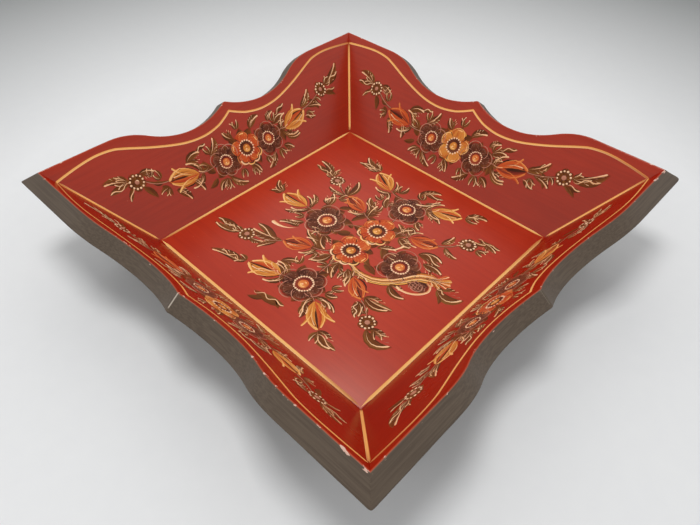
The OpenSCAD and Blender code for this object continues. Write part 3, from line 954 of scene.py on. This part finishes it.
rim_line = [(0, 57.2), (7, 53.6), (15, 50.6), (28, 48.8), (44, 50.4), (64, 56.4), (84, 64.2),
            (92, 66.8), (104, 68.2), (118, 67.8), (mitre_at(66.5) - 0.8, 66.5)]
garlands = {
    "front": ("ochre", "amber", "coral"),
    "right": ("orange", "amber", "amber"),
    "back": ("ochre", "coral", "coral"),
    "left": ("orange", "amber", "amber"),
}
rim_line_wide = 1.5
mitre_line_wide = 1.0
line_dips = {"front": (0.3, 3.4), "right": (2.6, 0.3), "back": (1.2, 2.6), "left": (3.4, 1.2)}
for quarter, (side, (rose, left_bud, right_bud)) in enumerate(garlands.items()):
    garland = Painting(31 + quarter)
    line = along_points(rim_line)
    whole = [(-x, y) for x, y in line[:0:-1]] + line
    dips = line_dips[side]
    whole = [(x, y - dips[x > 0] * max(0.0, (abs(x) - 80) / 50) ** 2) for x, y in whole]
    garland.touch("gold", whole, rim_line_wide, "even", 1)
    for way in (-1, 1):
        heights = [0.6 + (66 - dips[way > 0]) * i / 20 for i in range(21)]
        down = [(way * (mitre_at(y) - 0.55), y) for y in heights]
        garland.touch("gold", down, mitre_line_wide, "even", 1)
    for *ends, width, bow, vein in (
        (-92, 43, -110, 49, 6.0, -0.12, 1), (-86, 36, -80, 25, 4.5, 0.1, 0),
        (-84, 45, -73, 42, 4.5, 0.1, 1), (-66, 24, -58, 13, 5.5, 0.12, -1),
        (-52, 26, -46, 14, 5.5, 0.1, -1), (-50, 37, -36, 40, 5.5, 0.14, 1),
        (-31, 34, -22, 46, 6.0, -0.14, 1), (-24, 14, -12, 4, 5.5, -0.12, 1),
        (9, 39, 21, 46, 6.0, 0.14, -1), (20, 15, 9, 5, 5.5, 0.12, -1), (30, 34, 42, 38, 5.0, 0.12, 1),
        (36, 22, 50, 19, 5.5, -0.12, -1), (60, 36, 74, 47, 6.0, -0.12, 1),
        (66, 34, 80, 30, 5.0, 0.12, -1), (92, 43, 112, 56, 6.5, -0.1, 1),
        (88, 37, 98, 32, 4.0, 0.1, 0), (-72, 33, -79, 36, 3.5, 0.1, 0),
        (-34, 18, -43, 14, 4.0, 0.1, 0), (-8, 38, -14, 46, 5.5, 0.1, 1),
        (-33, 22, -38, 34, 6.0, 0.1, 0), (31, 32, 33, 18, 6.0, 0.1, 0), (-4, 16, 2, 6, 5.5, 0.1, 1),
        (26, 38, 34, 44, 5.0, 0.1, -1), (-28, 14, -36, 8, 5.0, -0.1, -1),
        (30, 16, 38, 10, 5.0, 0.1, 1), (-74, 31, -70, 22, 4.5, 0.1, 0), (70, 38, 76, 28, 4.5, 0.1, 0),
    ):
        garland.leaf(ends[:2], ends[2:], width, bow, vein)
    for *ends, waves, swing in (
        (-92, 42, -108, 41, 3, 0.12), (92, 42, 109, 49, 3, 0.12), (-92, 40, -98, 31, 2, 0.14),
        (34, 40, 46, 45, 3, 0.12), (-40, 42, -30, 44, 3, 0.14), (60, 28, 70, 25, 2, 0.12),
        (90, 38, 100, 38, 2, 0.14),
    ):
        garland.tendril(ends[2:], ends[:2], waves, swing)
    for x, y, angle, size, count in (
        (-2, 43, 1.57, 7, 3), (-2, 12, -1.57, 7, 3), (34, 28, 0.4, 8, 2), (-36, 28, 2.8, 8, 2),
        (-78, 40, 1.2, 7, 2), (76, 38, -1.0, 7, 2), (-26, 14, -2.0, 8, 3), (26, 15, -1.2, 8, 3),
        (-30, 36, 1.9, 7, 2), (30, 36, 1.2, 7, 2), (-70, 28, -2.4, 7, 3), (64, 31, -0.9, 7, 3),
        (-72, 36, 2.0, 7, 2), (68, 38, 1.1, 7, 2), (-11, 15, -1.9, 7, 2), (12, 15, -1.3, 7, 2),
        (-94, 44, 2.9, 8, 3), (91, 44, 0.5, 8, 3),
    ):
        garland.spray(x, y, angle, size, count)
    for *ends, bow in (
        (-30, 27, -45, 27, 0.05), (30, 28, 40, 27, 0.05), (-67, 32, -84, 40, 0.08),
        (60, 34, 81, 40, -0.06),
    ):
        garland.stem(ends[:2], ends[2:], bow)
    garland.rose(-21.5, 25.5, 11.5, "dark", 0.6, 6)
    garland.rose(20, 26.5, 11.5, "dark", 0.2, 6)
    garland.rose(-1, 27.5, 12.8, rose, 0.3, 5)
    garland.bud((-45, 27), (-68, 31), left_bud, 0.6)
    garland.bud((38, 27), (61, 34), right_bud, 0.6)
    garland.star(-88, 41, 6.2)
    garland.star(85.5, 41.5, 6.2)
    lay_paint("side_" + side, garland, side_place(quarter), "side_paint")

# THE PINS
# Thin drawn-steel panel pins lock the glued mitres and hold the floor. They are punched below the
# surface, filled and painted over, so only their bright shanks inside the wood are left plain.
pin_wire, wire_tree, wire = new_finish("pin_wire")
wire_place = fit(wire_tree, "ShaderNodeTexCoord")["Object"]
drawn = grain(wire_tree, wire_place, (900, 900, 900), 3.0)
steel = blend(wire_tree, drawn, (0.3, 0.29, 0.28, 1), (0.46, 0.45, 0.44, 1))
sheen = step(wire_tree, drawn, 0.2, 0.8, 0.28, 0.5)
give(wire_tree, wire, {"Metallic": 1.0, "Base Color": steel, "Roughness": sheen})
for pins in ("corner_pins", "floor_pins"):
    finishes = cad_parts[pins].data.materials
    finishes.clear()
    finishes.append(pin_wire)

# THE STAND-IN STUDIO
# A sheet of pale paper, a broad soft light overhead and behind, and the camera above the near corner.
paper, paper_tree, paper_face = new_finish("pale_paper")
paper_place = fit(paper_tree, "ShaderNodeTexCoord")["Object"]
fibre = grain(paper_tree, paper_place, (90, 90, 90), 4.0)
white = blend(paper_tree, fibre, (0.77, 0.782, 0.795, 1), (0.8, 0.812, 0.82, 1))
# The paper is painted darker from 0.28 m to 0.62 m out from the middle: painted shade, for the light
# falling off away from the tray.
outwards = fit(paper_tree, "ShaderNodeVectorMath", {0: paper_place}, operation="LENGTH")["Value"]
fade = {"Value": outwards, "From Min": 0.28, "From Max": 0.62}
painted_falloff = fit(paper_tree, "ShaderNodeMapRange", fade)[0]
grey = blend(paper_tree, painted_falloff, white, (0.24, 0.25, 0.25, 1))
give(paper_tree, paper_face, {"Base Color": grey, "Roughness": 0.6})
sheet_half = 8.0
sheet = bpy.data.meshes.new("paper_sheet")
sheet_corners = [(x * sheet_half, y * sheet_half, 0) for x, y in ((-1, -1), (1, -1), (1, 1), (-1, 1))]
sheet.from_pydata(sheet_corners, [], [(0, 1, 2, 3)])
sheet.materials.append(paper)
bring_in("paper_sheet", sheet)


def bearing(turn, rise):
    """The direction of a place seen from the tray, at a turn round it and a rise above it in degrees."""
    turn, rise = math.radians(turn), math.radians(rise)
    return Vector((math.sin(turn) * math.cos(rise), -math.cos(turn) * math.cos(rise), math.sin(rise)))


camera_reach = 4.195 * floor_edge
camera_roll = 0.0165
aim = Vector((0.1481 * floor_edge, -0.1973 * floor_edge, floor_top))
back = bearing(43.0, 45.45)
lens = bpy.data.cameras.new("camera")
lens.lens = 30.66
lens.clip_start = 0.01
camera = bring_in("camera", lens)
turned = back.to_track_quat("Z", "Y").to_matrix() @ Matrix.Rotation(camera_roll, 3, "Z")
camera.matrix_world = Matrix.Translation(aim + back * camera_reach) @ turned.to_4x4()
bpy.context.scene.camera = camera


def soft_light(name, turn, rise, reach, size, watts, tint):
    """A square soft box that faces the tray from a bearing and a distance."""
    way = bearing(turn, rise)
    box = bpy.data.lights.new(name, "AREA")
    box.size = size
    box.energy = watts
    box.color = tint
    light = bring_in(name, box)
    facing = way.to_track_quat("Z", "Y").to_matrix().to_4x4()
    light.matrix_world = Matrix.Translation(way * reach) @ facing


soft_light("overhead_light", 340, 85, 1.2, 0.42, 6.4, (1.0, 0.99, 0.98))
soft_light("back_light", 223, 50, 1.5, 1.0, 1.7, (1.0, 0.95, 0.88))
room = bpy.data.worlds.new("room")
room.use_nodes = True
room_tree = room.node_tree
sky = fit(room_tree, "ShaderNodeTexCoord")["Generated"]
rise = fit(room_tree, "ShaderNodeSeparateXYZ", {0: sky})["Z"]
walls = step(room_tree, rise, 0.95, 0.55)
walls = reckon(room_tree, "MULTIPLY", walls, step(room_tree, rise, 0.0, 0.3, 0.6, 1.0))
glow = blend(room_tree, walls, (0.24, 0.24, 0.245, 1), (0.83, 0.83, 0.83, 1))
give(room_tree, room_tree.nodes["Background"], {"Color": glow})
bpy.context.scene.world = room
bpy.context.scene.view_settings.view_transform = "Standard"
